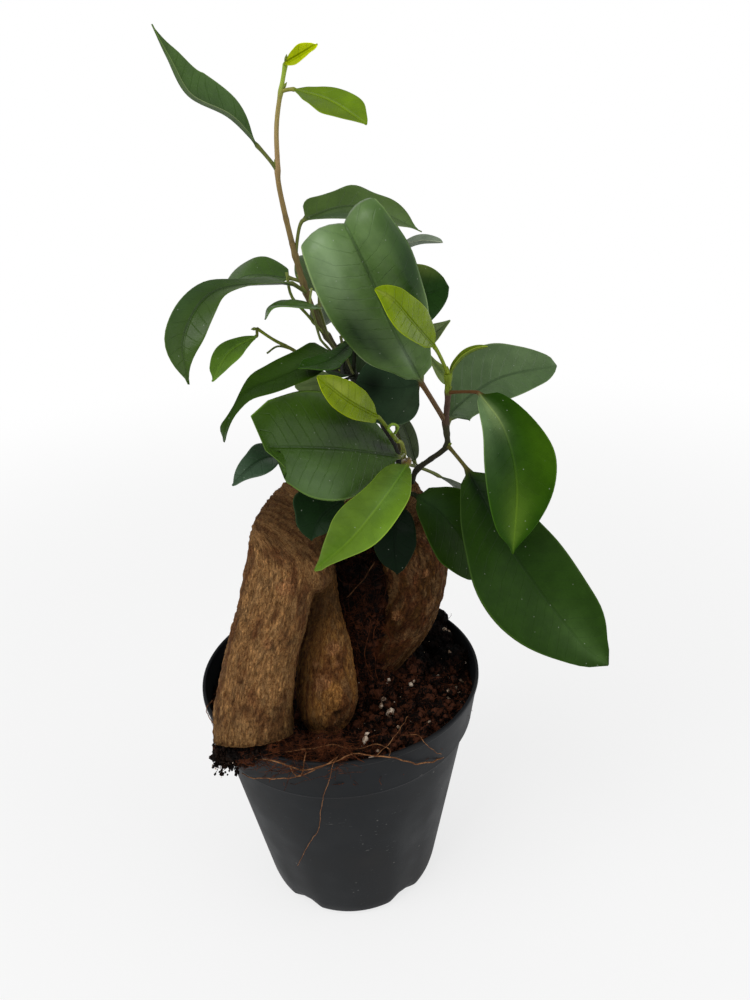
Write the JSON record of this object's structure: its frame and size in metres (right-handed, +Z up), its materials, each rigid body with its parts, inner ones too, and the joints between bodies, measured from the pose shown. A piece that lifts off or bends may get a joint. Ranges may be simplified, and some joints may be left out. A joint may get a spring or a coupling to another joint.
{
  "type": "potted bonsai tree",
  "caption": "Ginseng ficus bonsai: a swollen three-legged trunk with leafy stems, growing in a round plastic nursery pot filled with soil.",
  "frame": {"origin": "centre of the pot's flat underside", "axes": "+Z up the plant, +X to the viewer's right, -Y towards the viewer, in front of the plant"},
  "size_m": [0.1522, 0.1515, 0.3501],
  "materials": {
    "pot_plastic": "black, satin-matt injection-moulded plastic",
    "soil": "loose dark peat and bark crumbs",
    "bark": "rough tan-brown bark",
    "stem_bark": "smooth brown-green young bark",
    "leaf_mature": "waxy dark green leaf",
    "leaf_deep_bright": "waxy mid-green leaf",
    "leaf_bright": "waxy light green leaf",
    "leaf_young": "waxy yellow-green young leaf"
  },
  "bodies": {
    "root": {"pot": "pot_plastic", "soil": "soil", "trunk": "bark", "leader": "stem_bark", "right_branch": "stem_bark", "centre_twig": "stem_bark", "back_shoot": "stem_bark", "low_twig": "stem_bark", "left_twig": "stem_bark", "side_shoot": "stem_bark", "leader_leaf_tip": "leaf_young", "leader_leaf_high_left": "leaf_mature", "leader_leaf_high_right": "leaf_bright", "leader_leaf_right": "leaf_mature", "leader_leaf_left": "leaf_mature", "leader_leaf_left_back": "leaf_mature", "leader_leaf_narrow": "leaf_mature", "leader_leaf_curled": "leaf_mature", "leader_leaf_shaded": "leaf_mature", "leader_leaf_back": "leaf_mature", "left_leaf_bright": "leaf_bright", "left_leaf_long": "leaf_mature", "left_leaf_small": "leaf_mature", "centre_leaf_large": "leaf_mature", "centre_leaf_young": "leaf_young", "centre_leaf_front": "leaf_bright", "centre_leaf_shaded": "leaf_mature", "right_leaf_front": "leaf_mature", "right_leaf_young": "leaf_young", "right_leaf_folded": "leaf_young", "right_leaf_back": "leaf_mature", "right_leaf_outer": "leaf_deep_bright", "right_leaf_low": "leaf_mature", "right_leaf_shaded": "leaf_mature", "crown_leaf_small": "leaf_mature", "low_leaf_right": "leaf_mature", "low_leaf_middle": "leaf_mature", "low_leaf_left": "leaf_mature", "low_leaf_far_left": "leaf_mature", "back_leaf_high": "leaf_mature", "back_leaf_upper": "leaf_mature", "back_leaf_side": "leaf_mature", "back_leaf_drooping": "leaf_mature", "back_leaf_top": "leaf_mature", "back_leaf_left": "leaf_mature", "back_leaf_middle": "leaf_mature", "back_leaf_low_left": "leaf_mature", "back_leaf_low_right": "leaf_mature"}
  },
  "joints": []
}
